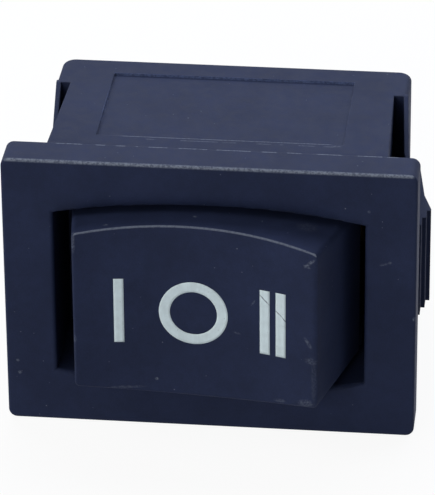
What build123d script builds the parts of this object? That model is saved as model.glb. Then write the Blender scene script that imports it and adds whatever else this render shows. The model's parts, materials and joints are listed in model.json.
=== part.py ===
from build123d import *
import os
from math import cos, radians, sin, sqrt, tan

# Snap-in rocker switch with three held positions, I - O - II.
# X runs along the long side (mark I at -X, mark II at +X), the rocker faces -Y and Z is the
# short side.  Y = 0 is the plane of the panel, right under the bezel, and the origin is the
# middle of the panel cut-out.  Lengths are in millimetres, angles in degrees.

# Bezel: the frame that stays in front of the panel.
bezel_length = 21.0
bezel_width = 15.0
bezel_thickness = 2.0
bezel_corner_radius = 0.45
bezel_edge_radius = 0.15
panel_thickness = 2.0

# Rocker: a dished cap with drafted ends and bowed sides, hollow behind.
rocker_length = 12.5
rocker_width = 9.73
rocker_height = 1.47
rocker_dish_radius = 20.25
rocker_bow_radius = 42.1
rocker_draft = 12.0
rocker_skirt_depth = 1.3
rocker_edge_radius = 0.12
rocker_corner_radius = 0.3
rocker_roof = 1.3
rocker_wall = 0.9
rocker_rib = 0.9
rocker_throw = 5.0
pivot_depth = 1.0
trunnion_radius = 1.1
trunnion_length = 0.9
trunnion_chamfer = 0.25
cheek_wall = 0.8
post_wall = 0.7
post_end_depth = 5.2

# Plunger and spring: a round-nosed cup that slides in the rocker's post.
plunger_radius = 1.1
plunger_length = 4.4
plunger_wall = 0.28
plunger_nose = 1.5
spring_wire = 0.2
spring_wire_sides = 6
spring_turns = 5

# Terminals: 4.8 mm tabs in a row, with an eye for the wire.
terminal_pitch = 7.0
terminal_width = 4.8
terminal_thickness = 0.8
terminal_length = 7.0
terminal_tip_chamfer = 0.9
terminal_bend_radius = 0.6
eye_radius = 0.7
eye_from_tip = 2.5
arm_overhang = 0.2
shoulder_step = 0.7
shoulder_height = 1.1
ear_height = 1.6

# Contacts: the side terminals carry them a little inside their tabs.
contact_from_tab = 1.4
contact_radius = 1.2
contact_height = 0.45
contact_crown_radius = 4.0
fixed_contact_height = 0.4
rivet_radius = 0.6
rivet_head_radius = 0.9
rivet_head_height = 0.2

# Blade: the seesaw strip that closes one side or the other, on the common terminal's edge.
blade_end_margin = 0.1
blade_width = 4.2
blade_thickness = 0.6
blade_end_radius = 0.8
blade_notch_depth = 0.17
blade_throw = 5.0
waist_width = 2.9

# Body behind the panel: it narrows a little towards a full-width root block at its back.
body_depth = 12.3
body_edge_radius = 0.3
side_wall = 1.135
front_end_wall = 0.9
back_end_wall = 1.02
floor_thickness = 2.0
root_thickness = 3.05
root_corner_radius = 0.7
chamber_width = 9.0
window_edge_radius = 0.2
stop_post_length = 1.0
stop_post_width = 1.1
label_field_length = 12.7
label_field_start = 3.3
label_field_end = 10.6
label_field_recess = 0.12

# Snap wings: thin plates that stand on the root block, bend outwards half-way up and carry a
# ramp with a stepped tooth.  The wing at mark II is sprung out, the one at mark I is set inwards.
wing_gap = 0.52
wing_thickness = 0.24
wing_lean = 4.4
wing_knee = 8.3
wing_knee_depth = 5.4
wing_free_width = 7.7
ramp_start = 8.8
ramp_foot_height = 0.65
ramp_knee_height = 0.85
tooth_width = 5.24
tooth_height = 0.95
tooth_tip_length = 0.2
tooth_stairs_length = 1.6
tooth_step = 0.2
tooth_steps = 2

# Clearances.
window_side_gap = 0.4
window_end_gap = 0.43
panel_play = 0.1
trunnion_play = 0.06
trunnion_end_play = 0.15
cheek_play = 0.4
plunger_play = 0.05
spring_side_play = 0.12
spring_seat_play = 0.04
stop_play = 0.04
seat_play = 0.03
contact_play = 0.03
chamber_end_play = 0.1
slot_play = 0.05
waist_play = 0.12
waist_gap = 0.4
rivet_play = 0.02
overshoot = 1.0

# Outline of the rocker, from its pivot outwards.
bezel_front = -bezel_thickness
half_rocker = rocker_length / 2
crown_depth = bezel_front - rocker_height
dish_centre = crown_depth - rocker_dish_radius
rim_depth = dish_centre + sqrt(rocker_dish_radius**2 - half_rocker**2)
draft_slope = tan(radians(rocker_draft))
skirt_half_length = half_rocker + draft_slope * (rocker_skirt_depth - rim_depth)
cheek_radius = trunnion_radius + cheek_wall
post_radius = plunger_radius + plunger_play + post_wall
bore_end_depth = crown_depth + rocker_roof

# Row of terminals and contacts, and the chamber round them.
edge_radius = terminal_thickness / 2
contact_arm = terminal_pitch - contact_from_tab
blade_length = 2 * (contact_arm + contact_radius + blade_end_margin)
waist_length = terminal_thickness + 2 * waist_gap
chamber_length = 2 * (terminal_pitch + edge_radius + chamber_end_play)
floor_depth = body_depth - floor_thickness

# Body, window and wings, round the rocker and the chamber.
window_length = 2 * (skirt_half_length + window_end_gap)
window_width = rocker_width + 2 * window_side_gap
window_bow_radius = rocker_bow_radius + window_side_gap
well_depth = pivot_depth + cheek_radius + cheek_play
half_front = window_length / 2 + front_end_wall
half_slot = chamber_length / 2 + back_end_wall
half_root = half_slot + wing_gap + wing_thickness
body_width = window_width + 2 * side_wall
slot_root_depth = body_depth - root_thickness
wing_free_end = panel_thickness + panel_play
tooth_stairs_depth = wing_free_end + tooth_stairs_length
tooth_peak_depth = tooth_stairs_depth + tooth_tip_length

# The blade turns about the middle of the common terminal's round edge.  That axis is as deep
# as lets each crowned contact come down on its fixed contact at the end of the throw.
underside = edge_radius + seat_play
crown_apex = contact_height - underside
swing = radians(blade_throw)
contact_drop = (
    contact_arm * sin(swing)
    + (crown_apex - contact_crown_radius) * cos(swing)
    + contact_crown_radius
)
fixed_face_depth = floor_depth - terminal_thickness - fixed_contact_height
blade_axis_depth = fixed_face_depth - contact_play - contact_drop
blade_under_depth = blade_axis_depth - underside
blade_top_depth = blade_under_depth - blade_thickness
notch_floor_depth = blade_top_depth + blade_notch_depth
nose_depth = notch_floor_depth - seat_play

# The notch in the blade follows the plunger's nose: its round is the path of the nose's
# centre, seen from the blade while rocker and blade turn opposite ways, plus the nose itself.
nose_arm = nose_depth - plunger_radius - pivot_depth
axis_gap = blade_axis_depth - pivot_depth
lean = radians(rocker_throw)
nose_x = nose_arm * sin(lean)
nose_y = nose_arm * cos(lean) - axis_gap
path_x = nose_x * cos(swing) + nose_y * sin(swing)
path_rise = nose_arm - axis_gap + nose_x * sin(swing) - nose_y * cos(swing)
path_radius = (path_x**2 + path_rise**2) / (2 * path_rise)
notch_radius = path_radius + plunger_radius + seat_play

# Plunger and spring inside the post.
plunger_back_depth = nose_depth - plunger_length
plunger_cup_radius = plunger_radius - plunger_wall
cup_floor_depth = nose_depth - plunger_nose
spring_radius = plunger_cup_radius - spring_side_play - spring_wire / 2

# The stop posts stand just clear of the skirt's lower corner at the end of the throw.
skirt_drop = (rocker_skirt_depth - pivot_depth) * cos(lean) + skirt_half_length * sin(lean)
stop_depth = pivot_depth + skirt_drop + stop_play


def facing(x, y, z):
    """Plane at a point, with its normal along +Y."""
    return Plane(origin=(x, y, z), x_dir=(1, 0, 0), z_dir=(0, 1, 0))


def rod_y(x, start, end, radius):
    """Round bar along Y."""
    return extrude(facing(x, start, 0) * Circle(radius), end - start)


def rod_z(x, y, start, end, radius):
    """Round bar along Z."""
    return extrude(Plane(origin=(x, y, start)) * Circle(radius), end - start)


def block(x_range, y_range, z_range):
    """Box between three pairs of limits."""
    lows, highs = zip(x_range, y_range, z_range)
    size = [high - low for low, high in zip(lows, highs)]
    middle = [(high + low) / 2 for low, high in zip(lows, highs)]
    return Pos(*middle) * Box(*size)


def prism_z(points, half_width):
    """Extrude an outline in X and Y by the same amount to both sides of Z = 0."""
    outline = make_face(Polyline(*points, close=True))
    return extrude(outline, half_width, both=True)


def bowed_bar(half_length, half_width, bow_radius, start, end):
    """Bar along Y whose section has straight ends and two long sides that bow outwards."""
    sag = bow_radius - sqrt(bow_radius**2 - half_length**2)
    corner = half_width - sag
    plane = facing(0, start, 0)
    outline = make_face(
        Curve()
        + ThreePointArc((-half_length, corner), (0, half_width), (half_length, corner))
        + Line((half_length, corner), (half_length, -corner))
        + ThreePointArc((half_length, -corner), (0, -half_width), (-half_length, -corner))
        + Line((-half_length, -corner), (-half_length, corner))
    )
    return extrude(plane * outline, end - start)


def tilted(shape, degrees, depth):
    """Turn a shape about the axis along Z at the given depth."""
    return Pos(0, depth, 0) * Rot(0, 0, degrees) * Pos(0, -depth, 0) * shape


def make_bezel():
    outline = RectangleRounded(bezel_length, bezel_width, bezel_corner_radius)
    bezel = extrude(facing(0, bezel_front, 0) * outline, bezel_thickness)
    front = bezel.faces().sort_by(Axis.Y)[0]
    return fillet(front.edges(), bezel_edge_radius)


def make_body():
    right = [
        (half_front, 0),
        (half_slot, slot_root_depth),
        (half_root, slot_root_depth),
        (half_root, body_depth),
    ]
    left = [(-x, y) for x, y in reversed(right)]
    body = prism_z(right + left, body_width / 2)
    back = body.faces().sort_by(Axis.Y)[-1]
    corners = back.edges().filter_by(Axis.Z)
    body = fillet(corners, root_corner_radius)
    back = body.faces().sort_by(Axis.Y)[-1]
    return fillet(back.edges().filter_by(Axis.X), body_edge_radius)


def make_wing(lean):
    """Snap wing at the +X end, leaning out by an angle: the plate, cut to a trapezium, and its tooth."""
    lower_slope = tan(radians(lean))
    upper_slope = tan(radians(lean + wing_knee))
    ramp_out = lower_slope * (slot_root_depth - ramp_start)
    knee_out = lower_slope * (slot_root_depth - wing_knee_depth)
    free_out = knee_out + upper_slope * (wing_knee_depth - wing_free_end)
    peak_out = knee_out + upper_slope * (wing_knee_depth - tooth_peak_depth)
    inner = half_root - wing_thickness
    buried = slot_root_depth + wing_thickness
    plate = prism_z(
        [
            (inner, buried),
            (inner, slot_root_depth),
            (inner + knee_out, wing_knee_depth),
            (inner + free_out, wing_free_end),
            (half_root + free_out, wing_free_end),
            (half_root + knee_out, wing_knee_depth),
            (half_root, slot_root_depth),
            (half_root, buried),
        ],
        body_width / 2,
    )
    half_foot = body_width / 2
    half_free = wing_free_width / 2
    side = make_face(
        Plane.YZ
        * Polyline(
            (buried, half_foot),
            (slot_root_depth, half_foot),
            (wing_free_end, half_free),
            (wing_free_end, -half_free),
            (slot_root_depth, -half_foot),
            (buried, -half_foot),
            close=True,
        )
    )
    plate = plate & extrude(side, bezel_length, both=True)

    peak = half_root + peak_out + tooth_height
    run = tooth_stairs_length / tooth_steps
    stairs = [(peak, tooth_peak_depth), (peak, tooth_stairs_depth)]
    for step in range(tooth_steps):
        landing = peak - (step + 1) * tooth_step
        stairs.append((landing, tooth_stairs_depth - step * run))
        stairs.append((landing, tooth_stairs_depth - (step + 1) * run))
    tooth = prism_z(
        [
            (inner, slot_root_depth),
            (half_root, slot_root_depth),
            (half_root + ramp_out + ramp_foot_height, ramp_start),
            (half_root + knee_out + ramp_knee_height, wing_knee_depth),
        ]
        + stairs
        + [(inner + free_out, wing_free_end), (inner + knee_out, wing_knee_depth)],
        tooth_width / 2,
    )
    return plate + tooth


def make_stop_post():
    """Moulded post in the (+X, +Z) corner of the chamber, with a top the skirt lands on flat."""
    far = chamber_length / 2
    near = far - stop_post_length
    rise = tan(lean)
    outer_top = stop_depth + rise * (far - skirt_half_length)
    inner_top = stop_depth + rise * (near - skirt_half_length)
    post = prism_z(
        [(near, inner_top), (far, outer_top), (far, floor_depth), (near, floor_depth)],
        stop_post_width / 2,
    )
    return Pos(0, 0, (chamber_width - stop_post_width) / 2) * post


def make_housing():
    post = make_stop_post()
    wings = make_wing(wing_lean) + mirror(make_wing(-wing_lean), about=Plane.YZ)
    shell = make_bezel() + make_body() + wings

    window = bowed_bar(
        window_length / 2, window_width / 2, window_bow_radius, bezel_front, well_depth
    )
    chamber = block(
        (-chamber_length / 2, chamber_length / 2),
        (well_depth, floor_depth),
        (-chamber_width / 2, chamber_width / 2),
    )
    shell = shell - window
    mouth = shell.faces().filter_by(Axis.Y).sort_by(Axis.Y)[0].inner_wires()[0]
    shell = fillet(mouth.edges(), window_edge_radius) - chamber

    bore_reach = rocker_width / 2 + trunnion_length + trunnion_end_play
    bore_radius = trunnion_radius + trunnion_play
    shell = shell - rod_z(0, pivot_depth, -bore_reach, bore_reach, bore_radius)

    half_gap = terminal_thickness / 2 + slot_play
    half_tab = terminal_width / 2 + slot_play
    for x in (-terminal_pitch, 0, terminal_pitch):
        shell = shell - block(
            (x - half_gap, x + half_gap), (floor_depth, body_depth), (-half_tab, half_tab)
        )
    for place in (post, mirror(post, about=Plane.YZ)):
        shell = shell + place + mirror(place, about=Plane.XY)

    field_top = body_width / 2
    shell = shell - block(
        (-label_field_length / 2, label_field_length / 2),
        (label_field_start, label_field_end),
        (field_top - label_field_recess, field_top),
    )
    return shell


def rocker_form(roof, wall, bottom):
    """Dished cap down to a given depth, with its roof and walls brought in by two thicknesses."""
    top = rim_depth - roof - overshoot
    inset = wall / cos(radians(rocker_draft))

    def half_length(depth):
        return half_rocker + draft_slope * (depth - rim_depth) - inset

    sides = prism_z(
        [
            (-half_length(top), top),
            (half_length(top), top),
            (half_length(bottom), bottom),
            (-half_length(bottom), bottom),
        ],
        rocker_width,
    )
    plan = bowed_bar(
        skirt_half_length + overshoot,
        rocker_width / 2 - wall,
        rocker_bow_radius - wall,
        top,
        bottom,
    )
    dish = rod_z(0, dish_centre, -rocker_width, rocker_width, rocker_dish_radius + roof)
    return (sides & plan) - dish


def make_rocker():
    cap = rocker_form(0.0, 0.0, rocker_skirt_depth)
    half_height = (rocker_skirt_depth - rim_depth) / 2
    uprights = cap.edges().filter_by(lambda edge: abs((edge @ 1 - edge @ 0).Y) > half_height)
    cap = fillet(uprights, rocker_corner_radius)
    dished_face = cap.faces().sort_by(Axis.Y)[0]
    cap = fillet(dished_face.edges(), rocker_edge_radius)
    hollow = rocker_form(rocker_roof, rocker_wall, rocker_skirt_depth)
    cap = cap - hollow

    half_outer = rocker_width / 2
    half_inner = half_outer - rocker_wall
    cheek_ring = bowed_bar(
        skirt_half_length, half_outer, rocker_bow_radius, crown_depth, well_depth
    ) - bowed_bar(
        skirt_half_length,
        half_inner,
        rocker_bow_radius - rocker_wall,
        crown_depth,
        well_depth,
    )
    cheeks = rod_z(0, pivot_depth, -half_outer, half_outer, cheek_radius) & cheek_ring
    tip = half_outer + trunnion_length
    stub = rod_z(0, pivot_depth, half_inner, tip, trunnion_radius)
    stub = chamfer(stub.edges().sort_by(Axis.Z)[-1], trunnion_chamfer)
    root = bore_end_depth - rocker_roof / 2
    rib = block(
        (-rocker_rib / 2, rocker_rib / 2),
        (root, rocker_skirt_depth),
        (-half_inner, half_inner),
    )
    post = rod_y(0, root, post_end_depth, post_radius)
    bore = rod_y(0, bore_end_depth, post_end_depth, plunger_radius + plunger_play)
    return cap + cheeks + stub + mirror(stub, about=Plane.XY) + rib + post - bore


def make_plunger():
    nose_centre = nose_depth - plunger_radius
    bar = rod_y(0, plunger_back_depth, nose_centre, plunger_radius)
    nose = Pos(0, nose_centre, 0) * Sphere(plunger_radius)
    cup = rod_y(0, plunger_back_depth, cup_floor_depth, plunger_cup_radius)
    return bar + nose - cup


def make_spring():
    margin = spring_wire / 2 + spring_seat_play
    start = bore_end_depth + margin
    length = cup_floor_depth - margin - start
    coil = Helix(
        length / spring_turns, length, spring_radius, center=(0, start, 0), direction=(0, 1, 0)
    )
    wire = RegularPolygon(spring_wire / 2, spring_wire_sides)
    section = Plane(origin=coil @ 0, z_dir=coil % 0) * wire
    return sweep(section, path=coil, is_frenet=True)


def make_blade():
    half_length = blade_length / 2
    strip = RectangleRounded(blade_length, blade_width, blade_end_radius)
    blade = extrude(facing(0, blade_top_depth, 0) * strip, blade_thickness)
    for side in (-1, 1):
        inner, outer = sorted((side * waist_width / 2, side * blade_width))
        blade = blade - block(
            (-waist_length / 2, waist_length / 2),
            (blade_top_depth, blade_under_depth),
            (inner, outer),
        )
    notch_centre = notch_floor_depth - notch_radius
    blade = blade - rod_z(0, notch_centre, -half_length, half_length, notch_radius)
    for x in (-contact_arm, contact_arm):
        hole = rod_y(x, blade_top_depth, blade_under_depth, rivet_radius + rivet_play)
        blade = blade - hole
    return blade


def make_moving_contact(x):
    """Rivet through the blade with a crowned silver head below it and an upset head above."""
    apex = blade_under_depth + contact_height
    crown = Pos(x, apex - contact_crown_radius, 0) * Sphere(contact_crown_radius)
    head = rod_y(x, blade_under_depth, apex, contact_radius) & crown
    shank = rod_y(x, blade_top_depth, blade_under_depth, rivet_radius)
    upset = rod_y(x, blade_top_depth - rivet_head_height, blade_top_depth, rivet_head_radius)
    return head + shank + upset


def make_fixed_contact(x):
    """Flat-headed rivet, its shank flush with the back of the terminal's arm."""
    arm_face = floor_depth - terminal_thickness
    head = rod_y(x, fixed_face_depth, arm_face, contact_radius)
    head = chamfer(head.edges().sort_by(Axis.Y)[0], fixed_contact_height / 4)
    return head + rod_y(x, arm_face, floor_depth, rivet_radius)


def make_tab(x):
    """Tab from the floor of the chamber to its tip behind the housing, with its eye."""
    tip = body_depth + terminal_length
    half = terminal_width / 2
    cut = terminal_tip_chamfer
    outline = Plane.YZ * Polyline(
        (floor_depth, half),
        (tip - cut, half),
        (tip, half - cut),
        (tip, cut - half),
        (tip - cut, -half),
        (floor_depth, -half),
        close=True,
    )
    tab = extrude(make_face(outline), terminal_thickness / 2, both=True)
    hole = Plane.YZ * Pos(tip - eye_from_tip, 0) * Circle(eye_radius)
    return Pos(x, 0, 0) * (tab - extrude(hole, terminal_thickness, both=True))


def make_side_terminal():
    """Terminal at +X: the tab turns in over the floor and carries a fixed contact."""
    half = terminal_thickness / 2
    inner = contact_arm - contact_radius - arm_overhang
    arm = block(
        (inner, terminal_pitch + half),
        (floor_depth - terminal_thickness, floor_depth),
        (-terminal_width / 2, terminal_width / 2),
    )
    bend = arm.edges().filter_by(Axis.Z).sort_by(Axis.Y)[:2].sort_by(Axis.X)[-1]
    arm = fillet(bend, terminal_bend_radius)
    hole = rod_y(
        contact_arm, floor_depth - terminal_thickness, floor_depth, rivet_radius + rivet_play
    )
    return arm + make_tab(terminal_pitch) - hole


def make_common_terminal():
    """Middle terminal: shoulders on the floor, two ears and the round edge the blade rocks on."""
    ear_inner = waist_width / 2 + waist_play
    ear_outer = terminal_width / 2
    ear_tip = blade_axis_depth - ear_height
    shoulder_top = floor_depth - shoulder_height
    half_shoulder = ear_outer + shoulder_step
    right = [
        (blade_axis_depth, ear_inner),
        (ear_tip, ear_inner),
        (ear_tip, ear_outer),
        (shoulder_top, ear_outer),
        (shoulder_top, half_shoulder),
        (floor_depth, half_shoulder),
    ]
    left = [(y, -z) for y, z in reversed(right)]
    outline = Plane.YZ * Polyline(*(right + left), close=True)
    head = extrude(make_face(outline), terminal_thickness / 2, both=True)
    edge = rod_z(0, blade_axis_depth, -ear_inner, ear_inner, edge_radius)
    return head + edge + make_tab(0)


def one_solid(shape):
    """The single solid that a sub-part is made of."""
    solids = shape.solids()
    assert len(solids) == 1, f"{len(solids)} solids"
    return solids[0]


def main():
    side_terminal = make_side_terminal()
    parts = {
        "housing": make_housing(),
        "rocker": tilted(make_rocker(), -rocker_throw, pivot_depth),
        "plunger": tilted(make_plunger(), -rocker_throw, pivot_depth),
        "spring": tilted(make_spring(), -rocker_throw, pivot_depth),
        "contact_blade": tilted(make_blade(), blade_throw, blade_axis_depth),
        "common_terminal": make_common_terminal(),
        "terminal_one": mirror(side_terminal, about=Plane.YZ),
        "terminal_two": side_terminal,
    }
    for name, x in (("one", -contact_arm), ("two", contact_arm)):
        moving = tilted(make_moving_contact(x), blade_throw, blade_axis_depth)
        parts[f"moving_contact_{name}"] = moving
        parts[f"fixed_contact_{name}"] = make_fixed_contact(x)
    os.makedirs("parts", exist_ok=True)
    for name, shape in parts.items():
        export_step(one_solid(shape), f"parts/{name}.step")
    print(f"rocker: pivot at Y {pivot_depth:.3f}, throw {rocker_throw:.2f} each way from O")
    print(f"blade: axis at Y {blade_axis_depth:.3f}, throw {blade_throw:.2f} each way from O")
    print(f"plunger: nose at Y {nose_depth:.3f}, notch radius {notch_radius:.3f}")


main()
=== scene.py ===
"""Dresses the snap-in rocker switch: printed marks, moulded plastic, metal parts, light and camera.

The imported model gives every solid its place.  This script adds the printed marks and the fine
coil of the spring, gives each part its finish, and lights it on a plain pale floor.
"""

import json
import logging
import math
from dataclasses import dataclass, field
from enum import Enum
from typing import Callable, Sequence

import bmesh
import bpy
import numpy as np
from mathutils import Matrix, Vector
from mathutils.bvhtree import BVHTree


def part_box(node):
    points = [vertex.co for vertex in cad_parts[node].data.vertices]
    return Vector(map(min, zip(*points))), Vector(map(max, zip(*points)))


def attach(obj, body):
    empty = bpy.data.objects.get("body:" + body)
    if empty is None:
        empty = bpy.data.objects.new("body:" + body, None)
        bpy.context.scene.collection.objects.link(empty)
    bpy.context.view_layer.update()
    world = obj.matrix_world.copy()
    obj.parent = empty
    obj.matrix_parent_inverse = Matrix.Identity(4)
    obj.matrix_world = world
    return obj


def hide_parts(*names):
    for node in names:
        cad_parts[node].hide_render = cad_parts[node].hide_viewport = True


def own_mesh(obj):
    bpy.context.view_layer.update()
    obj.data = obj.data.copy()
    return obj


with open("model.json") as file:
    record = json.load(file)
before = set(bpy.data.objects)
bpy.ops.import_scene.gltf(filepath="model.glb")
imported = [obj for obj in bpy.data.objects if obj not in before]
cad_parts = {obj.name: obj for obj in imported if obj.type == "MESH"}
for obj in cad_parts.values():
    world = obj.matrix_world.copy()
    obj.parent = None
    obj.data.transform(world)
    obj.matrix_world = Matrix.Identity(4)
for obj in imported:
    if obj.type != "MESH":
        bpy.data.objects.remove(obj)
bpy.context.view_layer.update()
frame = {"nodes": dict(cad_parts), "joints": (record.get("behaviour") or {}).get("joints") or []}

MM = 0.001

# A Mix node's colour sockets go by number, because its other kinds of input share their names.
MIX_FIRST, MIX_SECOND, MIX_RESULT = 6, 7, 2

log = logging.getLogger("rocker_switch")

Socket = bpy.types.NodeSocket
Colour = tuple[float, float, float]


class Part(Enum):
    """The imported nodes, by the name that the frame gives them."""

    HOUSING = "housing"
    ROCKER = "rocker"
    PLUNGER = "plunger"
    SPRING = "spring"
    BLADE = "contact_blade"
    COMMON = "common_terminal"
    TERMINAL_ONE = "terminal_one"
    TERMINAL_TWO = "terminal_two"
    MOVING_ONE = "moving_contact_one"
    MOVING_TWO = "moving_contact_two"
    FIXED_ONE = "fixed_contact_one"
    FIXED_TWO = "fixed_contact_two"


# --------------------------------------------------------------------------- shader building


class Shader:
    """A node material under construction, with short calls for the nodes that finishes use."""

    def __init__(self, name: str) -> None:
        """Starts an empty material with a Principled shader.

        Args:
            name: The material's name.
        """
        self.material = bpy.data.materials.new(name)
        self.material.use_nodes = True
        self.tree = self.material.node_tree
        self.tree.nodes.clear()
        self.output = self.tree.nodes.new("ShaderNodeOutputMaterial")
        self.principled = self.tree.nodes.new("ShaderNodeBsdfPrincipled")
        self.tree.links.new(self.principled.outputs[0], self.output.inputs["Surface"])

    def node(self, kind: str, **settings: object) -> bpy.types.Node:
        """Adds a node.

        Args:
            kind: The node's type, without its ShaderNode prefix.
            **settings: Properties of the node, set as they are.

        Returns:
            The new node.
        """
        made = self.tree.nodes.new("ShaderNode" + kind)
        for name, value in settings.items():
            setattr(made, name, value)
        return made

    def feed(self, socket: Socket, value: Socket | float | Sequence[float]) -> None:
        """Links a socket to another one, or sets its own value.

        Args:
            socket: The input to feed.
            value: An output socket, a number, or a colour or vector.
        """
        if isinstance(value, bpy.types.NodeSocket):
            self.tree.links.new(value, socket)
        elif isinstance(value, (int, float)):
            socket.default_value = value
        else:
            wanted = len(socket.default_value)
            socket.default_value = (*value, 1.0)[:wanted] if len(value) < wanted else value

    def math(self, operation: str, *values: Socket | float, clamp: bool = False) -> Socket:
        """Arithmetic on one, two or three values.

        Args:
            operation: The Math node's operation.
            *values: Its inputs, in order.
            clamp: Whether the result is kept from 0 to 1.

        Returns:
            The result.
        """
        made = self.node("Math", operation=operation, use_clamp=clamp)
        for socket, value in zip(made.inputs, values):
            self.feed(socket, value)
        return made.outputs[0]

    def vector(self, operation: str, *values: Socket | Sequence[float], out: int = 0) -> Socket:
        """Vector arithmetic.

        Args:
            operation: The Vector Math node's operation.
            *values: Its inputs, in order.
            out: Which output to give, 1 being the scalar one.

        Returns:
            The result.
        """
        made = self.node("VectorMath", operation=operation)
        for socket, value in zip(made.inputs, values):
            self.feed(socket, value)
        return made.outputs[out]

    def span(self, value: Socket, low: float, high: float, to: tuple[float, float] = (0, 1)) -> Socket:
        """Maps a value smoothly from one range to another.

        Args:
            value: What to map.
            low: The value that gives the first end.
            high: The value that gives the second end.
            to: The two ends.

        Returns:
            The mapped value.
        """
        made = self.node("MapRange", interpolation_type="SMOOTHSTEP")
        for index, number in enumerate((value, low, high, *to)):
            self.feed(made.inputs[index], number)
        return made.outputs[0]

    def mix(self, factor: Socket | float, first: Socket | Colour, second: Socket | Colour) -> Socket:
        """Mixes two colours.

        Args:
            factor: Share of the second colour.
            first: The first colour.
            second: The second colour.

        Returns:
            The mixed colour.
        """
        made = self.node("Mix", data_type="RGBA")
        self.feed(made.inputs[0], factor)
        self.feed(made.inputs[MIX_FIRST], first)
        self.feed(made.inputs[MIX_SECOND], second)
        return made.outputs[MIX_RESULT]

    def place(self) -> Socket:
        """The point on the part, in millimetres in the part's own frame."""
        coordinates = self.node("TexCoord").outputs["Object"]
        return self.vector("MULTIPLY", coordinates, (1 / MM, 1 / MM, 1 / MM))

    def axes(self, vector: Socket) -> tuple[Socket, Socket, Socket]:
        """Takes a place or a normal apart.

        Args:
            vector: The place or the normal.

        Returns:
            Its X, Y and Z.
        """
        parts = self.node("SeparateXYZ")
        self.feed(parts.inputs[0], vector)
        return tuple(parts.outputs)

    def scaled(self, colour: Socket | Colour, tone: Socket) -> Socket:
        """Makes a colour lighter or darker.

        Args:
            colour: The colour.
            tone: What it is multiplied by, around 1.

        Returns:
            The toned colour.
        """
        made = self.vector("SCALE", colour)
        self.feed(made.node.inputs["Scale"], tone)
        return made

    def shifted(self, place: Socket, offset: Sequence[float]) -> Socket:
        """A place moved by a fixed offset, so that two textures don't line up."""
        return self.vector("ADD", place, offset)

    def noise(self, place: Socket, size: float, detail: float = 2.0, roughness: float = 0.5) -> Socket:
        """Smooth noise.

        Args:
            place: Where it is read, in millimetres.
            size: The size of its blobs, in millimetres.
            detail: How many finer layers it has.
            roughness: How strong the finer layers are.

        Returns:
            The noise, around 0.5.
        """
        made = self.node("TexNoise", noise_dimensions="3D")
        self.feed(made.inputs["Vector"], place)
        self.feed(made.inputs["Scale"], 1.0 / size)
        self.feed(made.inputs["Detail"], detail)
        self.feed(made.inputs["Roughness"], roughness)
        return made.outputs["Fac"]

    def cells(self, place: Socket, size: float) -> tuple[Socket, Socket]:
        """Scattered points.

        Args:
            place: Where they are read, in millimetres.
            size: The usual distance between them, in millimetres.

        Returns:
            The distance to the nearest one, as a share of size, and a random number of its own.
        """
        made = self.node("TexVoronoi", feature="F1", voronoi_dimensions="3D")
        self.feed(made.inputs["Vector"], place)
        self.feed(made.inputs["Scale"], 1.0 / size)
        chance = self.node("SeparateColor")
        self.feed(chance.inputs[0], made.outputs["Color"])
        return made.outputs["Distance"], chance.outputs[0]

    def edges(self, radius: float, samples: int = 6) -> tuple[Socket, Socket]:
        """Where the surface turns a corner.

        Args:
            radius: How far from the corner it is felt, in millimetres.
            samples: How many rays it takes.

        Returns:
            A mask that is 0 on flat faces and rises towards edges, and the rounded normal.
        """
        bevel = self.node("Bevel", samples=samples)
        self.feed(bevel.inputs["Radius"], radius * MM)
        true_normal = self.node("NewGeometry").outputs["True Normal"]
        along = self.vector("DOT_PRODUCT", bevel.outputs[0], true_normal, out=1)
        return self.math("SUBTRACT", 1.0, along, clamp=True), bevel.outputs[0]

    def bump(self, height: Socket, depth: float, normal: Socket | None = None) -> Socket:
        """Relief from a height.

        Args:
            height: The height, from 0 to 1.
            depth: What a height of 1 stands for, in millimetres.
            normal: The normal under the relief.

        Returns:
            The new normal.
        """
        made = self.node("Bump")
        self.feed(made.inputs["Distance"], depth * MM)
        self.feed(made.inputs["Height"], height)
        if normal is not None:
            self.feed(made.inputs["Normal"], normal)
        return made.outputs[0]

    def surface(self, **inputs: Socket | float | Sequence[float]) -> bpy.types.Material:
        """Feeds the Principled shader.

        Args:
            **inputs: Its inputs, with underscores for spaces.

        Returns:
            The finished material.
        """
        for name, value in inputs.items():
            self.feed(self.principled.inputs[name.replace("_", " ")], value)
        return self.material


# --------------------------------------------------------------------------- finishes


@dataclass(frozen=True)
class RubAndLightLine:
    """A straight pale line along X, for ridges that handling has rubbed pale, for painted highlights and
    for painted light that lifts shade.  Lengths are in millimetres.
    """

    y: float
    z: float
    reach: tuple[float, float]
    width: float = 0.12
    strength: float = 1.0
    dash: float = 0.6
    cover: float = 1.0

    def mask(self, make: Shader, place: Socket, speckle: Socket) -> Socket:
        """How far the line is painted pale.

        Args:
            make: The shader under construction.
            place: The point on the part, in millimetres.
            speckle: Fine noise that breaks the line up.

        Returns:
            The mask, from 0 to the rub's strength.
        """
        off = make.vector("MULTIPLY", make.shifted(place, (0, -self.y, -self.z)), (0, 1, 1))
        band = make.span(make.vector("LENGTH", off, out=1), self.width, 0.2 * self.width)
        along, _, _ = make.axes(place)
        for start, inside in ((self.reach[0], self.dash), (self.reach[1], -self.dash)):
            band = make.math("MULTIPLY", band, make.span(along, start, start + 0.3 * inside))
        if self.cover < 1.0:
            broken = make.noise(make.shifted(place, (self.z, self.y, 0)), self.dash, detail=2.0)
            edge = 0.62 - 0.24 * self.cover
            band = make.math("MULTIPLY", band, make.span(broken, edge, edge + 0.05))
        band = make.math("MULTIPLY", band, make.span(speckle, 0.36, 0.60, (0.35, 1.0)))
        return make.math("MULTIPLY", band, self.strength)


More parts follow.
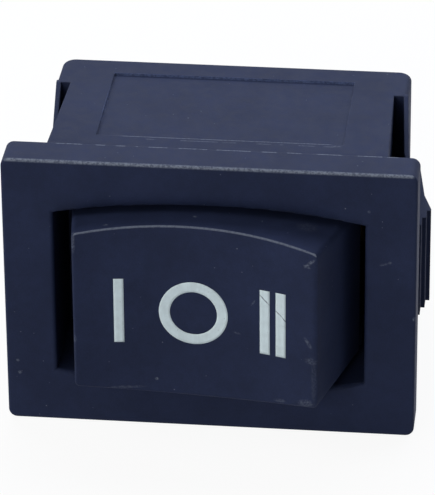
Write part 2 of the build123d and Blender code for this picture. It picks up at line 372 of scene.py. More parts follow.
@dataclass(frozen=True)
class ScuffAndLightPatch:
    """A small pale oval, for scuffed or dusty patches and for painted light that lifts shade.  Lengths
    are in millimetres, the lean in degrees.
    """

    at: tuple[float, float, float]
    long: float
    short: float
    lean: float = 0.0
    strength: float = 0.4
    depth: float = 0.5

    def mask(self, make: Shader, place: Socket, speckle: Socket) -> Socket:
        """How pale the patch is.

        Args:
            make: The shader under construction.
            place: The point on the part, in millimetres.
            speckle: Fine noise that breaks the patch up.

        Returns:
            The mask, from 0 to the patch's strength.
        """
        off = make.shifted(place, tuple(-c for c in self.at))
        if self.lean:
            turned = make.node("VectorRotate", rotation_type="Y_AXIS")
            make.feed(turned.inputs["Vector"], off)
            make.feed(turned.inputs["Angle"], math.radians(self.lean))
            off = turned.outputs[0]
        off = make.vector("MULTIPLY", off, (1 / self.long, 1 / self.depth, 1 / self.short))
        oval = make.span(make.vector("LENGTH", off, out=1), 1.0, 0.35)
        grains = make.span(speckle, 0.40, 0.62, (0.15, 1.0))
        return make.math("MULTIPLY", make.math("MULTIPLY", oval, grains), self.strength)


@dataclass(frozen=True)
class SoftEdge:
    """A stretch where the moulding's edges are rolled over more widely.  Lengths are in millimetres."""

    low: tuple[float, float, float]
    high: tuple[float, float, float]
    radius: float
    fade: float = 0.3

    def normal(self, make: Shader, place: Socket, other: Socket) -> Socket:
        """The normal, rolled over inside the stretch.

        Args:
            make: The shader under construction.
            place: The point on the part, in millimetres.
            other: The normal elsewhere.

        Returns:
            The new normal.
        """
        near: Socket | float = 1.0
        for value, low, high in zip(make.axes(place), self.low, self.high):
            near = make.math("MULTIPLY", near, make.span(value, low, low + self.fade))
            near = make.math("MULTIPLY", near, make.span(value, high, high - self.fade))
        wide = make.node("Bevel", samples=8)
        make.feed(wide.inputs["Radius"], self.radius * MM)
        return make.mix(near, other, wide.outputs[0])


@dataclass(frozen=True)
class MouldedPlastic:
    """Near-black plastic from a spark-eroded mould, with dust, scuffs, rubbed ridges, painted highlights
    and painted light.

    Sizes are in millimetres.  Each row of dust_grains holds the usual distance between grains, the
    reach of one as a share of it, and the chance above which a grain shows.
    """

    name: str
    colour: Colour = (0.0172, 0.0240, 0.0565)
    worn_colour: Colour = (0.090, 0.105, 0.150)
    # Pale colour of rubbed ridges, flecks and scuffs; on the housing's front top edge and the rocker's
    # crest it is partly a painted highlight.
    rub_and_highlight_colour: Colour = (0.190, 0.215, 0.270)
    # Painted light: a pale blue that lifts the shade on recess walls.
    painted_light_colour: Colour = (0.20, 0.27, 0.54)
    dust_colour: Colour = (0.22, 0.24, 0.29)
    roughness: float = 0.62
    specular: float = 0.085
    cloud_size: float = 2.4
    mottle_size: float = 0.45
    wear_size: float = 0.5
    speckle_size: float = 0.11
    grain_size: float = 0.085
    grain_depth: float = 0.0035
    edge_radius: float = 0.12
    edge_wear: float = 0.55
    dust: float = 0.5
    dust_grains: tuple[tuple[float, float, float], ...] = ((0.55, 0.075, 0.93), (0.28, 0.11, 0.95))
    seed: float = 0.0
    marks: tuple[RubAndLightLine | ScuffAndLightPatch, ...] = ()
    # Painted light: the marks where the pale painted-light colour lifts the shade on walls that lie in
    # shade.
    corners: tuple[RubAndLightLine | ScuffAndLightPatch, ...] = ()
    # Strength of the pale crest line: partly rubbing, partly a painted highlight.
    crest: float = 0.0
    soft: SoftEdge | None = None

    def material(self) -> bpy.types.Material:
        """Builds the material.

        Returns:
            The finished material.
        """
        make = Shader(self.name)
        spot = make.place()
        place = make.shifted(spot, (self.seed, 2 * self.seed, -self.seed))
        cloud = make.noise(place, self.cloud_size, detail=2.0)
        mottle = make.noise(place, self.mottle_size, detail=3.0)
        grain = make.noise(place, self.grain_size, detail=1.5, roughness=0.6)
        tone = make.math("MULTIPLY", make.span(cloud, 0.25, 0.75, (0.90, 1.10)),
                         make.span(mottle, 0.25, 0.75, (0.93, 1.07)))
        tone = make.math("MULTIPLY", tone, make.span(grain, 0.2, 0.8, (0.93, 1.07)))
        base = make.scaled(self.colour, tone)

        edge, rounded = make.edges(self.edge_radius)
        rub = make.noise(place, self.wear_size, detail=4.0, roughness=0.7)
        worn = make.math("MULTIPLY", make.span(edge, 0.03, 0.35), make.span(rub, 0.40, 0.62))
        worn = make.math("MULTIPLY", worn, self.edge_wear)
        colour = make.mix(worn, base, self.worn_colour)
        speckle = make.noise(spot, self.speckle_size, detail=3.0, roughness=0.65)
        # Painted light: lightens the walls that the corners mark, where shade falls.
        if self.corners:
            pale = self.cover(make, spot, speckle, self.corners)
            colour = make.mix(pale, colour, self.painted_light_colour)
        # Pale rubbed marks and the crest line; the housing's front top edge and the rocker's crest are
        # partly painted highlight.
        rubbed = self.cover(make, spot, speckle, self.marks)
        if self.crest:
            rubbed = make.math("MAXIMUM", rubbed, self.crest_line(make, speckle))
        colour = make.mix(rubbed, colour, self.rub_and_highlight_colour)

        specks = self.specks(make, place)
        colour = make.mix(specks, colour, self.dust_colour)
        if self.soft is not None:
            rounded = self.soft.normal(make, spot, rounded)
        roughness = make.span(mottle, 0.2, 0.8, (self.roughness - 0.05, self.roughness + 0.05))
        normal = make.bump(grain, self.grain_depth, rounded)
        return make.surface(
            Base_Color=colour, Roughness=roughness, Specular_IOR_Level=self.specular, Normal=normal
        )

    def cover(self, make: Shader, spot: Socket, speckle: Socket,
              marks: Sequence[RubAndLightLine | ScuffAndLightPatch]) -> Socket:
        """All the marks of one kind that have a place of their own.

        Args:
            make: The shader under construction.
            spot: The point on the part, in millimetres.
            speckle: Fine noise that breaks the marks up.
            marks: The marks.

        Returns:
            How far the marks cover the surface.
        """
        total: Socket | float = 0.0
        for mark in marks:
            total = make.math("MAXIMUM", total, mark.mask(make, spot, speckle))
        return total

    def crest_line(self, make: Shader, speckle: Socket) -> Socket:
        """The pale crest, where the dished face rolls over into the upper side: partly rubbing, partly a
        painted highlight.

        Args:
            make: The shader under construction.
            speckle: Fine noise that breaks the line up.

        Returns:
            How far the crest is painted pale.
        """
        x, y, z = make.axes(make.node("TexCoord").outputs["Normal"])
        turn = make.math("MULTIPLY", make.math("MULTIPLY", y, -1.0), z)
        line = make.span(turn, 0.24, 0.42)
        line = make.math("MULTIPLY", line, make.span(make.math("ABSOLUTE", x), 0.6, 0.4))
        line = make.math("MULTIPLY", line, make.span(speckle, 0.30, 0.55, (0.55, 1.0)))
        return make.math("MULTIPLY", line, self.crest)

    def specks(self, make: Shader, place: Socket) -> Socket:
        """Dust grains of two sizes, thin on the ground.

        Args:
            make: The shader under construction.
            place: The point on the part, in millimetres.

        Returns:
            The share of dust at each point.
        """
        total: Socket | float = 0.0
        for size, reach, least in self.dust_grains:
            near, chance = make.cells(make.shifted(place, (size, 0, 3 * size)), size)
            grain = make.math("MULTIPLY", make.span(near, reach, 0.5 * reach),
                              make.math("GREATER_THAN", chance, least))
            total = make.math("MAXIMUM", total, grain)
        return make.math("MULTIPLY", total, self.dust)


@dataclass(frozen=True)
class Print:
    """Pad-printed ink: pale and crisp, with pinholes and, where one is given, a hairline scratch.

    Sizes are in millimetres.  The scratch is a point on it and the unit vector across it.
    """

    name: str
    colour: Colour = (0.645, 0.755, 0.785)
    bare_colour: Colour = (0.03, 0.04, 0.07)
    roughness: float = 0.55
    stain_size: float = 0.35
    streak_size: float = 0.9
    pinhole_pitch: float = 0.16
    pinhole_strength: float = 0.35
    relief_size: float = 0.06
    relief_depth: float = 0.002
    scratch: tuple[Vector, Vector] | None = None
    scratch_width: float = 0.035

    def material(self) -> bpy.types.Material:
        """Builds the material.

        Returns:
            The finished material.
        """
        make = Shader(self.name)
        place = make.place()
        stain = make.noise(place, self.stain_size, detail=3.0)
        drawn_out = make.vector("MULTIPLY", place, (6.0, 6.0, 0.5))
        streak = make.noise(drawn_out, self.streak_size, detail=2.0)
        tone = make.math("MULTIPLY", make.span(stain, 0.2, 0.8, (0.93, 1.05)),
                         make.span(streak, 0.2, 0.8, (0.96, 1.04)))
        ink = make.scaled(self.colour, tone)
        near, chance = make.cells(place, self.pinhole_pitch)
        hole = make.math("MULTIPLY", make.span(near, 0.22, 0.1), make.math("GREATER_THAN", chance, 0.86))
        hole = make.math("MULTIPLY", hole, self.pinhole_strength)
        if self.scratch is not None:
            hole = make.math("MAXIMUM", hole, self.line(make, place))
        colour = make.mix(hole, ink, self.bare_colour)
        normal = make.bump(make.noise(place, self.relief_size), self.relief_depth)
        return make.surface(
            Base_Color=colour, Roughness=self.roughness, Specular_IOR_Level=0.2, Normal=normal
        )

    def line(self, make: Shader, place: Socket) -> Socket:
        """The scratch, as a mask.

        Args:
            make: The shader under construction.
            place: The point on the part, in millimetres.

        Returns:
            How far the ink is scratched off.
        """
        start, across = self.scratch
        away = make.vector("DOT_PRODUCT", make.vector("SUBTRACT", place, start), across, out=1)
        wander = make.span(make.noise(place, 0.4), 0.3, 0.7, (-0.02, 0.02))
        away = make.math("ABSOLUTE", make.math("ADD", away, wander))
        faint = make.span(make.noise(place, 0.25, detail=2.0), 0.35, 0.6, (0.35, 0.9))
        return make.math("MULTIPLY", make.span(away, self.scratch_width, 0.3 * self.scratch_width), faint)


@dataclass(frozen=True)
class Metal:
    """Bare metal from strip or wire: drawn or rolled lines, stains and rubbed edges.

    Sizes are in millimetres, and line_axis is small along the lines.
    """

    name: str
    colour: Colour
    stain_colour: Colour
    roughness: float = 0.32
    line_size: float = 0.05
    line_axis: Colour = (1.0, 0.06, 1.0)
    line_depth: float = 0.0012
    cloud_size: float = 1.6
    edge_radius: float = 0.05
    stain: float = 0.5

    def material(self) -> bpy.types.Material:
        """Builds the material.

        Returns:
            The finished material.
        """
        make = Shader(self.name)
        place = make.place()
        lines = make.noise(make.vector("MULTIPLY", place, self.line_axis), self.line_size, detail=2.0)
        cloud = make.noise(place, self.cloud_size, detail=5.0, roughness=0.65)
        edge, rounded = make.edges(self.edge_radius)
        patch = make.math("MULTIPLY", make.span(cloud, 0.45, 0.72), self.stain)
        stained = make.math("SUBTRACT", patch, make.span(edge, 0.05, 0.4), clamp=True)
        colour = make.mix(stained, self.colour, self.stain_colour)
        drawn = make.span(lines, 0.2, 0.8, (self.roughness - 0.08, self.roughness + 0.08))
        rough = make.math("ADD", drawn, make.math("MULTIPLY", stained, 0.2))
        normal = make.bump(lines, self.line_depth, rounded)
        return make.surface(Base_Color=colour, Metallic=1.0, Roughness=rough, Normal=normal)


@dataclass(frozen=True)
class Nylon:
    """Natural nylon: off-white, slightly waxy, faintly mottled.  Sizes are in millimetres."""

    name: str
    colour: Colour = (0.72, 0.69, 0.61)
    roughness: float = 0.42
    waxiness: float = 0.15
    glow_reach: float = 0.5
    cloud_size: float = 0.8
    edge_radius: float = 0.05
    relief_size: float = 0.12
    relief_depth: float = 0.002

    def material(self) -> bpy.types.Material:
        """Builds the material.

        Returns:
            The finished material.
        """
        make = Shader(self.name)
        place = make.place()
        cloud = make.noise(place, self.cloud_size, detail=3.0)
        colour = make.mix(make.span(cloud, 0.3, 0.7), self.colour, tuple(0.86 * c for c in self.colour))
        _, rounded = make.edges(self.edge_radius)
        normal = make.bump(make.noise(place, self.relief_size), self.relief_depth, rounded)
        return make.surface(
            Base_Color=colour, Roughness=self.roughness, Subsurface_Weight=self.waxiness,
            Subsurface_Scale=self.glow_reach * MM, Normal=normal,
        )


# --------------------------------------------------------------------------- packed row and meshes


def joint_row(name: str) -> dict[str, object]:
    """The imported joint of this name."""
    return next(row for row in frame["joints"] if row["name"] == name)


def new_object(name: str, build: Callable[[bmesh.types.BMesh], None],
               smooth: bool = True) -> bpy.types.Object:
    """Makes a mesh object.

    Args:
        name: The piece's name.
        build: Fills an empty bmesh, in metres in the row frame.
        smooth: Whether its faces are shaded smooth.

    Returns:
        The new object, linked to the scene.
    """
    mesh = bpy.data.meshes.new(name)
    shape = bmesh.new()
    build(shape)
    bmesh.ops.recalc_face_normals(shape, faces=shape.faces)
    for face in shape.faces:
        face.smooth = smooth
    shape.to_mesh(mesh)
    shape.free()
    made = bpy.data.objects.new(name, mesh)
    bpy.context.scene.collection.objects.link(made)
    return made


def dress(part: Part, material: bpy.types.Material) -> None:
    """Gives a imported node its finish.

    Args:
        part: Which node.
        material: Its new material.
    """
    slots = frame["nodes"][part.value].data.materials
    slots.clear()
    slots.append(material)
    log.info("%s wears %s", part.value, material.name)


# --------------------------------------------------------------------------- printed marks


@dataclass
class Marks:
    """The I, O and II printed on the dished face, in the rocker's own level frame.

    Lengths are in millimetres.  Along the face, u runs from I to II and v is the short way.
    """

    height: float = 3.64
    middle: float = -0.05
    one_width: float = 0.50
    one_place: float = -4.01
    ring_place: float = -0.237
    ring_diameter: float = 3.54
    ring_stroke: float = 0.56
    two_place: float = 3.89
    two_width: float = 0.525
    two_pitch: float = 0.84
    thickness: float = 0.014
    sink: float = 0.012
    step: float = 0.12
    ring_steps: int = 96
    scratch_at: tuple[float, float] = (3.945, 0.823)
    scratch_angle: float = -41.5
    ray_lead: float = 5.0

    def __post_init__(self) -> None:
        """Finds the pivot, the throw and the dished face in the frame."""
        joint = joint_row("rocker_tilt")
        pivot = Vector(joint["pos_m"])
        throw = math.radians(max(joint["range_deg"]) / 2)
        turn = Matrix.Rotation(-throw, 4, Vector(joint["axis"]))
        self.to_row = Matrix.Translation(pivot) @ turn @ Matrix.Translation(-pivot)
        mesh = frame["nodes"][Part.ROCKER.value].data
        points = [v.co for v in mesh.vertices]
        self.face = BVHTree.FromPolygons(points, [tuple(p.vertices) for p in mesh.polygons])
        self.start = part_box(Part.ROCKER.value)[0].y - self.ray_lead * MM

    def on_face(self, u: float, v: float, lift: float) -> Vector:
        """A point on the dished face.

        Args:
            u: Along the face, in millimetres.
            v: The short way, in millimetres.
            lift: How far in front of the face, in millimetres.

        Returns:
            The point in the row frame, in metres.
        """
        above = self.to_row @ Vector((u * MM, self.start, v * MM))
        ahead = (self.to_row.to_3x3() @ Vector((0, 1, 0))).normalized()
        hit, *_ = self.face.ray_cast(above, ahead)
        return hit - ahead * (lift * MM)

    def slab(self, shape: bmesh.types.BMesh, rings: Sequence[Sequence[tuple[float, float]]]) -> None:
        """A thin closed layer of ink over a strip of the face.

        Args:
            shape: The mesh to fill.
            rings: Cross rows of points (u, v), each as long as the next.
        """
        tops = [[shape.verts.new(self.on_face(u, v, self.thickness)) for u, v in row] for row in rings]
        feet = [[shape.verts.new(self.on_face(u, v, -self.sink)) for u, v in row] for row in rings]
        closed = rings[0] == rings[-1]
        if closed:
            tops[-1], feet[-1] = tops[0], feet[0]
        for layer in (tops, feet):
            for row, following in zip(layer, layer[1:]):
                for k in range(len(row) - 1):
                    shape.faces.new((row[k], row[k + 1], following[k + 1], following[k]))
        for side in (0, -1):
            for n in range(len(tops) - 1):
                shape.faces.new((tops[n][side], tops[n + 1][side], feet[n + 1][side], feet[n][side]))
        if not closed:
            for top, foot in ((tops[0], feet[0]), (tops[-1], feet[-1])):
                for k in range(len(top) - 1):
                    shape.faces.new((top[k], top[k + 1], foot[k + 1], foot[k]))
        loose = [v for v in shape.verts if not v.link_faces]
        bmesh.ops.delete(shape, geom=loose, context="VERTS")

    def bar(self, shape: bmesh.types.BMesh, centre: float, width: float) -> None:
        """One upright bar.

        Args:
            shape: The mesh to fill.
            centre: Its middle along the face.
            width: Its width.
        """
        rows = round(self.height / self.step)
        across = round(width / self.step)
        rings = [
            [
                (centre + width * (k / across - 0.5), self.middle + self.height * (n / rows - 0.5))
                for k in range(across + 1)
            ]
            for n in range(rows + 1)
        ]
        self.slab(shape, rings)

    def ring(self, shape: bmesh.types.BMesh) -> None:
        """The O.

        Args:
            shape: The mesh to fill.
        """
        across = round(self.ring_stroke / self.step)
        outer = self.ring_diameter / 2
        rings = []
        for n in range(self.ring_steps):
            angle = 2 * math.pi * n / self.ring_steps
            radii = [outer - self.ring_stroke * k / across for k in range(across + 1)]
            rings.append([
                (self.ring_place + r * math.cos(angle), self.middle + r * math.sin(angle)) for r in radii
            ])
        self.slab(shape, rings + rings[:1])

    def two(self, shape: bmesh.types.BMesh) -> None:
        """The II.

        Args:
            shape: The mesh to fill.
        """
        for side in (-0.5, 0.5):
            self.bar(shape, self.two_place + side * self.two_pitch, self.two_width)

    def scratch(self) -> tuple[Vector, Vector]:
        """The hairline across the II.

        Returns:
            A point on it, in millimetres in the row frame, and the unit vector across it.
        """
        point = self.on_face(*self.scratch_at, 0.0) / MM
        angle = math.radians(self.scratch_angle)
        across = self.to_row.to_3x3() @ Vector((-math.sin(angle), 0, math.cos(angle)))
        return point, across

    def build(self) -> None:
        """Prints the three marks and lets them move with the rocker."""
        plain = Print("print_white").material()
        scratched = Print("print_white_scratched", scratch=self.scratch()).material()
        makers = (
            ("mark_one", lambda shape: self.bar(shape, self.one_place, self.one_width), plain),
            ("mark_zero", self.ring, plain),
            ("mark_two", self.two, scratched),
        )
        for name, build, material in makers:
            piece = new_object(name, build)
            piece.data.materials.append(material)
            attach(piece, "rocker")
            log.info("%s printed, %d faces", name, len(piece.data.polygons))


# --------------------------------------------------------------------------- spring


@dataclass
class CoilSpring:
    """The fine round-wire coil that stands for the plain one inside the rocker's post.

    The wire's thickness is in millimetres.
    """

    turns: float = 5.0
    end_turns: float = 1.0
    wire: float = 0.2
    steps_per_turn: int = 40
    round_steps: int = 14

    def centre_line(self) -> tuple[list[Vector], Vector, Vector]:
        """The wire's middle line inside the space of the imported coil.

        Returns:
            The points, the coil's axis and the end that stays in place, in the row frame.
        """
        axis = Vector(joint_row("plunger_slide")["axis"]).normalized()
        packed = np.array([v.co for v in frame["nodes"][Part.SPRING.value].data.vertices], float)
        along = packed @ np.array(axis)
        low, high = float(along.min()), float(along.max())
        middle = Vector(packed.mean(0))
        foot = middle + axis * (low - middle.dot(axis))
        side = axis.orthogonal().normalized()
        other = axis.cross(side)
        risen = packed - np.array(foot)
        spread = np.linalg.norm(risen - np.outer(risen @ np.array(axis), axis), axis=1)
        wire = self.wire * MM
        radius = float(spread.max()) - wire / 2
        free = (high - low) - wire * (1 + 2 * self.end_turns)
        total = self.turns + 2 * self.end_turns
        points = []
        for n in range(round(total * self.steps_per_turn) + 1):
            turn = n / self.steps_per_turn
            angle = 2 * math.pi * turn
            share = min(max((turn - self.end_turns) / self.turns, 0.0), 1.0)
            closed = wire * (min(turn, self.end_turns) + max(turn - self.end_turns - self.turns, 0.0))
            rise = wire / 2 + closed + share * free
            out = side * math.cos(angle) + other * math.sin(angle)
            points.append(foot + axis * rise + out * radius)
        return points, axis, foot + axis * (high - low)

    def build(self) -> bpy.types.Object:
        """Winds the spring and lets it ride on the rocker.

        Returns:
            The new piece.
        """
        points, axis, fixed_end = self.centre_line()

        def tube(shape: bmesh.types.BMesh) -> None:
            """Sweeps a round section along the line.

            Args:
                shape: The mesh to fill.
            """
            rows = []
            for n, point in enumerate(points):
                ahead = (points[min(n + 1, len(points) - 1)] - points[max(n - 1, 0)]).normalized()
                out = (axis - ahead * axis.dot(ahead)).normalized()
                up = ahead.cross(out)
                rows.append([
                    shape.verts.new(point + (out * math.cos(a) + up * math.sin(a)) * (self.wire / 2 * MM))
                    for a in (2 * math.pi * k / self.round_steps for k in range(self.round_steps))
                ])
            for row, following in zip(rows, rows[1:]):
                for k in range(self.round_steps):
                    after = (k + 1) % self.round_steps
                    shape.faces.new((row[k], row[after], following[after], following[k]))
            shape.faces.new(rows[0])
            shape.faces.new(rows[-1])

        piece = new_object("spring_coil", tube)
        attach(piece, "rocker")
        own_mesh(piece)
        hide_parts(Part.SPRING.value)
        piece.data.materials.append(
            Metal("drawn_steel", (0.52, 0.52, 0.53), (0.36, 0.34, 0.31), line_axis=(1, 1, 1)).material()
        )
        log.info("%s wound, %d faces", piece.name, len(piece.data.polygons))
        return piece


# --------------------------------------------------------------------------- the switch


@dataclass
class Switch:
    """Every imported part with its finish, and the pieces that are added to it.

    Lengths are in millimetres.  The label field is the shallow recess on top of the body.
    """

    label_front: float = 3.3
    label_back: float = 10.6
    label_half_length: float = 6.35
    label_step: float = 6.34
    body_top: float = 6.4
    marks: Marks = field(default_factory=Marks)
    spring: CoilSpring = field(default_factory=CoilSpring)

    def housing_marks(self) -> tuple[RubAndLightLine | ScuffAndLightPatch, ...]:
        """Rubbed ridges, flecks and scuffs of the housing, from its own edges; the line along the front
        top edge is partly a painted highlight.

        Returns:
            The marks.
        """
        low, high = (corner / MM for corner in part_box(Part.HOUSING.value))
        front, top, label, body_top = low.y, high.z, self.label_front, self.body_top
        return (
            # Front top edge: rubbing and a painted highlight along the rolled edge.
            RubAndLightLine(front + 0.04, top - 0.04, (-10.4, 10.4), width=0.15),
            RubAndLightLine(0.0, top, (-8.0, 10.2), width=0.11, dash=0.7, cover=0.60, strength=0.80),
            RubAndLightLine(label, body_top, (-5.3, 5.9), width=0.10, dash=1.2, strength=0.62),
            RubAndLightLine(label - 0.28, body_top, (-4.4, 6.1), width=0.07, dash=0.9, cover=0.55, strength=0.35),
            ScuffAndLightPatch((6.00, 3.10, body_top), 0.36, 0.2, strength=0.40, depth=0.09),
            ScuffAndLightPatch((8.85, front, 2.45), 0.32, 0.10, 15, 0.24),
            ScuffAndLightPatch((9.16, front, 2.56), 0.12, 0.10, 0, 0.28),
            ScuffAndLightPatch((8.08, front, 5.40), 0.10, 0.10, 0, 0.40),
            ScuffAndLightPatch((-9.92, front, -4.09), 0.12, 0.10, 0, 0.50),
            ScuffAndLightPatch((-9.84, front, -4.80), 0.14, 0.12, 0, 0.50),
            ScuffAndLightPatch((10.42, front, -0.62), 0.10, 0.16, 0, 0.55),
        )

    def housing_painted_light(self) -> tuple[RubAndLightLine | ScuffAndLightPatch, ...]:
        """Painted light: a pale rear line and pale ends that lift the shade on the label field's recess
        walls.

        Returns:
            The marks.
        """
        end, step = self.label_half_length, self.label_step
        middle = (self.label_front + self.label_back) / 2
        return (
            RubAndLightLine(self.label_back, step, (-6.4, 6.4), width=0.11, dash=0.1, strength=0.34),
            ScuffAndLightPatch((-end, middle, step), 0.11, 0.11, 0, 0.30, 4.3),
            ScuffAndLightPatch((end, middle, step), 0.11, 0.11, 0, 0.06, 4.3),
        )

    def rocker_marks(self) -> tuple[RubAndLightLine | ScuffAndLightPatch, ...]:
        """Flecks and scuffs of the rocker, as it lies at rest.

        Returns:
            The marks.
        """
        return (
            ScuffAndLightPatch((5.36, -4.82, 3.84), 0.55, 0.11, 46, 0.62),
            ScuffAndLightPatch((5.22, -4.77, 3.62), 0.26, 0.09, -15, 0.40),
            ScuffAndLightPatch((5.29, -4.80, -0.72), 0.46, 0.13, -57, 0.34),
            ScuffAndLightPatch((5.45, -4.84, -1.72), 0.42, 0.26, 0, 0.24),
            ScuffAndLightPatch((5.60, -4.90, -2.80), 1.70, 0.20, 90, 0.12),
            ScuffAndLightPatch((5.20, -4.78, -4.22), 0.60, 0.28, 8, 0.30),
            ScuffAndLightPatch((3.83, -4.28, -4.40), 0.45, 0.14, 4, 0.20),
            ScuffAndLightPatch((-4.10, -3.47, -4.50), 1.30, 0.11, 2, 0.20),
            ScuffAndLightPatch((-6.66, -3.82, -2.30), 2.20, 0.10, 90, 0.05),
            ScuffAndLightPatch((-6.64, -3.83, -1.62), 0.30, 0.10, 90, 0.36),
            ScuffAndLightPatch((-6.62, -3.84, 3.90), 0.75, 0.13, 90, 0.36),
            ScuffAndLightPatch((1.60, -3.73, -0.91), 0.30, 0.07, -10, 0.28),
            ScuffAndLightPatch((2.44, -3.90, 0.96), 0.26, 0.06, 60, 0.28),
            ScuffAndLightPatch((-2.55, -3.38, -3.99), 0.13, 0.10, 0, 0.65),
            ScuffAndLightPatch((5.05, -2.30, 4.55), 0.75, 0.40, 0, 0.09, 0.6),
            ScuffAndLightPatch((-0.64, -2.30, 4.86), 0.16, 0.30, 0, 0.50, 0.12),
            ScuffAndLightPatch((-5.05, -3.14, 4.60), 0.16, 0.30, 0, 0.50, 0.12),
        )

    def dress_plastics(self) -> None:
        """Finishes the housing, the rocker and the plunger."""
        window_lip = SoftEdge((-7.9, -3.0, 4.4), (7.9, -1.0, 6.7), radius=1.0)
        rocker_end = SoftEdge((4.4, -6.0, -4.6), (8.0, -2.5, 4.2), radius=0.6)
        # The housing's corners are painted light on the label field's recess walls.
        housing = MouldedPlastic("housing_moulding", seed=3.0, marks=self.housing_marks(),
                                 corners=self.housing_painted_light(), soft=window_lip)
        # The rocker's crest line is partly rubbing, partly a painted highlight.
        rocker = MouldedPlastic("rocker_moulding", seed=11.0, edge_wear=0.35, marks=self.rocker_marks(),
                                crest=0.62, soft=rocker_end)
        dress(Part.HOUSING, housing.material())
        dress(Part.ROCKER, rocker.material())
        dress(Part.PLUNGER, Nylon("plunger_nylon").material())

    def dress_metals(self) -> None:
        """Finishes the terminals, the blade and the contacts."""
        brass = Metal("stamped_brass", (0.70, 0.52, 0.25), (0.42, 0.27, 0.12)).material()
        copper = Metal("rolled_copper", (0.70, 0.38, 0.22), (0.40, 0.20, 0.12),
                       line_axis=(0.06, 1, 1)).material()
        silver = Metal("contact_silver_face", (0.78, 0.77, 0.73), (0.45, 0.42, 0.36),
                       roughness=0.25, line_size=0.12, line_axis=(1, 1, 1)).material()
        for part in (Part.COMMON, Part.TERMINAL_ONE, Part.TERMINAL_TWO):
            dress(part, brass)
        dress(Part.BLADE, copper)
        for part in (Part.MOVING_ONE, Part.MOVING_TWO, Part.FIXED_ONE, Part.FIXED_TWO):
            dress(part, silver)

    def build(self) -> None:
        """Dresses the parts and adds the marks and the spring."""
        self.dress_plastics()
        self.dress_metals()
        self.marks.build()
        self.spring.build()


# --------------------------------------------------------------------------- studio


def seen_rays(tree: bpy.types.NodeTree) -> Socket:
    """Tells the rays that show the background from those that light the part.

    Args:
        tree: The node tree of the floor's material or of the world.

    Returns:
        1 for rays from the camera and for mirrored and refracted ones, otherwise 0.
    """
    path = tree.nodes.new("ShaderNodeLightPath").outputs
    seen = path["Is Camera Ray"]
    for name in ("Is Glossy Ray", "Is Transmission Ray"):
        either = tree.nodes.new("ShaderNodeMath")
        either.operation = "MAXIMUM"
        tree.links.new(seen, either.inputs[0])
        tree.links.new(path[name], either.inputs[1])
        seen = either.outputs[0]
    return seen


def direction(azimuth: float, elevation: float) -> Vector:
    """The unit vector from the part towards a place round it.

    Args:
        azimuth: 0 is in front of the rocker, and 90 on the II side, in degrees.
        elevation: Above the horizon, in degrees.

    Returns:
        The unit vector.
    """
    turn, rise = math.radians(azimuth), math.radians(elevation)
    return Vector((math.sin(turn) * math.cos(rise), -math.cos(turn) * math.cos(rise), math.sin(rise)))


@dataclass(frozen=True)
class Lamp:
    """A soft rectangular lamp that looks at the part.

    Its place is counted as the camera's is, in degrees.  Distance and size are in millimetres, and
    the power is in watts.
    """

    name: str
    azimuth: float
    elevation: float
    distance: float
    size: tuple[float, float]
    power: float
    tint: Colour = (1.0, 1.0, 1.0)

    def hang(self) -> None:
        """Puts the lamp in its place in the scene."""
        light = bpy.data.lights.new(self.name, "AREA")
        light.shape = "RECTANGLE"
        light.size, light.size_y = (side * MM for side in self.size)
        light.energy = self.power
        light.color = self.tint
        lamp = bpy.data.objects.new(self.name, light)
        back = direction(self.azimuth, self.elevation)
        lamp.location = back * (self.distance * MM)
        lamp.rotation_mode = "QUATERNION"
        lamp.rotation_quaternion = back.to_track_quat("Z", "Y")
        bpy.context.scene.collection.objects.link(lamp)


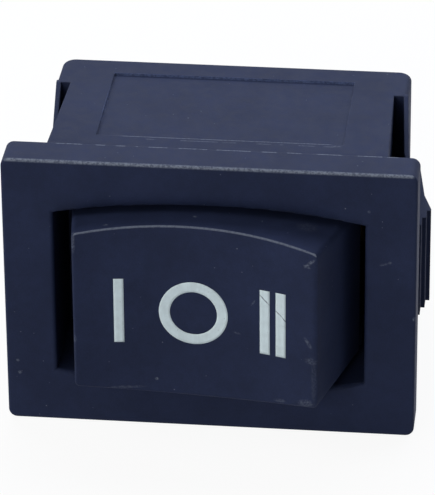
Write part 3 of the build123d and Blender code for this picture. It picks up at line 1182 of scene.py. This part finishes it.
@dataclass
class Studio:
    """Pale floor, soft lamps and the camera.  Lengths are in millimetres, angles in degrees."""

    camera_azimuth: float = 6.498
    camera_elevation: float = 28.6
    camera_roll: float = -0.492
    camera_distance: float = 209.36
    focal_length: float = 297.67
    sensor_width: float = 36.0
    near_limit: float = 10.0
    far_limit: float = 20000.0
    aim_right: float = 0.212
    aim_up: float = 1.685
    floor_size: float = 6000.0
    floor_colour: Colour = (0.55, 0.55, 0.55)
    floor_white: Colour = (0.95, 0.95, 0.95)
    floor_glow: float = 0.92
    fleck_size: float = 40.0
    sky: Colour = (0.095, 0.095, 0.095)
    sky_white: Colour = (0.94, 0.94, 0.94)
    lamps: tuple[Lamp, ...] = (
        Lamp("lamp_back", 175, 50, 500, (700, 420), 2.50, (0.92, 1.0, 1.20)),
        Lamp("lamp_left", -75, 40, 600, (400, 400), 1.52),
        Lamp("lamp_front", -18, 18, 600, (400, 300), 1.30),
    )

    def build_floor(self) -> None:
        """A wide plain floor right under the part."""
        low = min(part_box(part.value)[0].z for part in Part)
        half = self.floor_size / 2 * MM

        def sheet(shape: bmesh.types.BMesh) -> None:
            """One large face."""
            corners = ((-half, -half), (half, -half), (half, half), (-half, half))
            shape.faces.new([shape.verts.new((x, y, low)) for x, y in corners])

        floor = new_object("floor", sheet, smooth=False)
        make = Shader("floor_paper")
        seen = seen_rays(make.tree)
        fleck = make.span(make.noise(make.place(), self.fleck_size, detail=2.0), 0.3, 0.7, (0.985, 1.0))
        tone = make.scaled(make.mix(seen, self.floor_colour, self.floor_white), fleck)
        paper = make.surface(Base_Color=tone, Roughness=0.9, Specular_IOR_Level=0.1)
        white = make.node("Emission")
        both = make.node("MixShader")
        make.feed(both.inputs[0], make.math("MULTIPLY", seen, self.floor_glow))
        make.feed(both.inputs[1], make.principled.outputs[0])
        make.feed(both.inputs[2], white.outputs[0])
        make.feed(make.output.inputs["Surface"], both.outputs[0])
        floor.data.materials.append(paper)

    def build_light(self) -> None:
        """The lamps, and a sky that is dim as a light and white wherever it is seen."""
        world = bpy.data.worlds.new("studio_sky")
        world.use_nodes = True
        tree = world.node_tree
        background = tree.nodes["Background"]
        background.inputs["Strength"].default_value = 1.0
        tint = tree.nodes.new("ShaderNodeMix")
        tint.data_type = "RGBA"
        tint.inputs[MIX_FIRST].default_value = (*self.sky, 1.0)
        tint.inputs[MIX_SECOND].default_value = (*self.sky_white, 1.0)
        tree.links.new(seen_rays(tree), tint.inputs[0])
        tree.links.new(tint.outputs[MIX_RESULT], background.inputs["Color"])
        bpy.context.scene.world = world
        for lamp in self.lamps:
            lamp.hang()

    def build_camera(self) -> None:
        """The camera, level but for a slight roll, aimed a little above the cut-out's middle."""
        back = direction(self.camera_azimuth, self.camera_elevation)
        azimuth = math.radians(self.camera_azimuth)
        right = Vector((math.cos(azimuth), math.sin(azimuth), 0))
        up = back.cross(right)
        roll = Matrix.Rotation(math.radians(self.camera_roll), 3, back)
        right, up = roll @ right, roll @ up
        place = back * (self.camera_distance * MM)
        target = (right * self.aim_right + up * self.aim_up) * MM
        away = (place - target).normalized()
        side = up.cross(away).normalized()
        turn = Matrix((side, away.cross(side), away)).transposed()
        data = bpy.data.cameras.new("camera")
        data.lens = self.focal_length
        data.sensor_width = self.sensor_width
        data.clip_start, data.clip_end = self.near_limit * MM, self.far_limit * MM
        camera = bpy.data.objects.new("camera", data)
        camera.matrix_world = Matrix.Translation(place) @ turn.to_4x4()
        bpy.context.scene.collection.objects.link(camera)
        bpy.context.scene.camera = camera

    def build(self) -> None:
        """Floor, lamps, camera and the plain view transform."""
        self.build_floor()
        self.build_light()
        self.build_camera()
        bpy.context.scene.view_settings.view_transform = "Standard"


def main() -> None:
    """Builds the switch and the studio, and reports each piece."""
    logging.basicConfig(level=logging.INFO, format="%(name)s: %(message)s")
    Switch().build()
    Studio().build()


if __name__ == "__main__":
    main()
